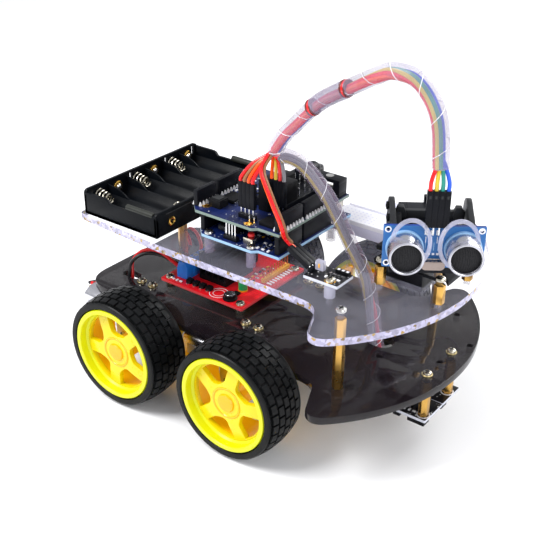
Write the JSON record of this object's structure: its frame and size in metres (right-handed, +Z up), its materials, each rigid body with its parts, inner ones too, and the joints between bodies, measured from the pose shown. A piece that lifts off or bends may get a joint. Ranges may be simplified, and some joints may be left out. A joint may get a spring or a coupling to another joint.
{
  "type": "wheeled robot chassis",
  "caption": "Wheeled robot chassis with acrylic decks on brass pillars, spoked yellow wheels on gear motors, a battery holder, stacked control boards and a turning ultrasonic head.",
  "frame": {"origin": "on the floor, under the middle of the box round the rigid pieces", "axes": "+X to the nose, +Y to the robot's left, +Z up"},
  "size_m": [0.249, 0.163, 0.206],
  "materials": {
    "smoked_acrylic": "polished",
    "clear_acrylic": "polished",
    "brass": "satin",
    "yellow_plastic": "satin",
    "white_plastic": "matte",
    "tyre_rubber": "matte",
    "motor_steel": "satin",
    "cast_aluminium": "satin",
    "bright_aluminium": "satin",
    "black_plastic": "satin",
    "black_metal": "anodised",
    "navy_board": "lacquered",
    "blue_board": "lacquered",
    "red_board": "lacquered",
    "black_board": "lacquered",
    "red_plastic": "satin",
    "blue_plastic": "satin",
    "clear_wrap": "satin",
    "wire_insulation": "satin"
  },
  "bodies": {
    "chassis": {"bottom_plate": "smoked_acrylic", "top_plate": "clear_acrylic", "pillar_front_right": "brass", "pillar_front_left": "brass", "pillar_rear": "brass", "battery_holder": "black_plastic", "controller_board": "navy_board", "sensor_shield": "navy_board", "shield_plug_head": "black_plastic", "shield_plug_line": "black_plastic", "ir_receiver_plug": "black_plastic", "driver_board": "red_board", "driver_heatsink": "black_metal", "driver_terminals": "blue_plastic", "ir_receiver_board": "black_board", "ir_receiver_spacer": "white_plastic", "breadboard": "white_plastic", "pan_base": "black_plastic", "pan_servo": "black_plastic", "line_sensor_right": "black_board", "line_sensor_left": "black_board", "dc_plug": "black_plastic", "head_harness": "clear_wrap", "line_harness": "clear_wrap", "battery_lead": "black_plastic", "ir_receiver_lead": "wire_insulation", "motor_leads_right": "wire_insulation", "motor_leads_left": "wire_insulation", "gearbox_front_right": "yellow_plastic", "motor_front_right": "motor_steel", "motor_bracket_front_right": "cast_aluminium", "gearbox_front_left": "yellow_plastic", "motor_front_left": "motor_steel", "motor_bracket_front_left": "cast_aluminium", "gearbox_rear_right": "yellow_plastic", "motor_rear_right": "motor_steel", "motor_bracket_rear_right": "cast_aluminium", "gearbox_rear_left": "yellow_plastic", "motor_rear_left": "motor_steel", "motor_bracket_rear_left": "cast_aluminium"},
    "wheel_front_right": {"wheel_rim_front_right": "yellow_plastic", "tyre_front_right": "tyre_rubber", "output_shaft_front_right": "white_plastic"},
    "wheel_front_left": {"wheel_rim_front_left": "yellow_plastic", "tyre_front_left": "tyre_rubber", "output_shaft_front_left": "white_plastic"},
    "wheel_rear_right": {"wheel_rim_rear_right": "yellow_plastic", "tyre_rear_right": "tyre_rubber", "output_shaft_rear_right": "white_plastic"},
    "wheel_rear_left": {"wheel_rim_rear_left": "yellow_plastic", "tyre_rear_left": "tyre_rubber", "output_shaft_rear_left": "white_plastic"},
    "pan_head": {"pan_bracket": "black_plastic", "tilt_servo": "black_plastic"},
    "tilt_head": {"tilt_frame": "black_plastic", "ultrasonic_board": "blue_board", "transducer_right": "bright_aluminium", "transducer_left": "bright_aluminium", "head_plug": "black_plastic"},
    "reset_button": {"reset_button": "red_plastic"}
  },
  "joints": [
    {"name": "wheel_spin_front_right", "type": "hinge", "parent": "chassis", "child": "wheel_front_right", "pos_m": [0.0117, -0.068, 0.0325], "axis": [0, 1, 0], "continuous": true},
    {"name": "wheel_spin_front_left", "type": "hinge", "parent": "chassis", "child": "wheel_front_left", "pos_m": [0.0117, 0.068, 0.0325], "axis": [0, 1, 0], "continuous": true},
    {"name": "wheel_spin_rear_right", "type": "hinge", "parent": "chassis", "child": "wheel_rear_right", "pos_m": [-0.0663, -0.068, 0.0325], "axis": [0, 1, 0], "continuous": true},
    {"name": "wheel_spin_rear_left", "type": "hinge", "parent": "chassis", "child": "wheel_rear_left", "pos_m": [-0.0663, 0.068, 0.0325], "axis": [0, 1, 0], "continuous": true},
    {"name": "head_pan", "type": "hinge", "parent": "chassis", "child": "pan_head", "pos_m": [0.0737, 0, 0.118], "axis": [0, 0, 1], "range_deg": [-35, 145], "deforming": ["head_harness"]},
    {"name": "head_tilt", "type": "hinge", "parent": "pan_head", "child": "tilt_head", "pos_m": [0.08517, -0.01638, 0.132], "axis": [0.8192, 0.5736, 0], "range_deg": [-45, 25], "deforming": ["head_harness"]},
    {"name": "reset_press", "type": "slide", "parent": "chassis", "child": "reset_button", "axis": [0, 0, -1], "range_m": [0, 0.00025], "stiffness_N_per_m": 200}
  ]
}
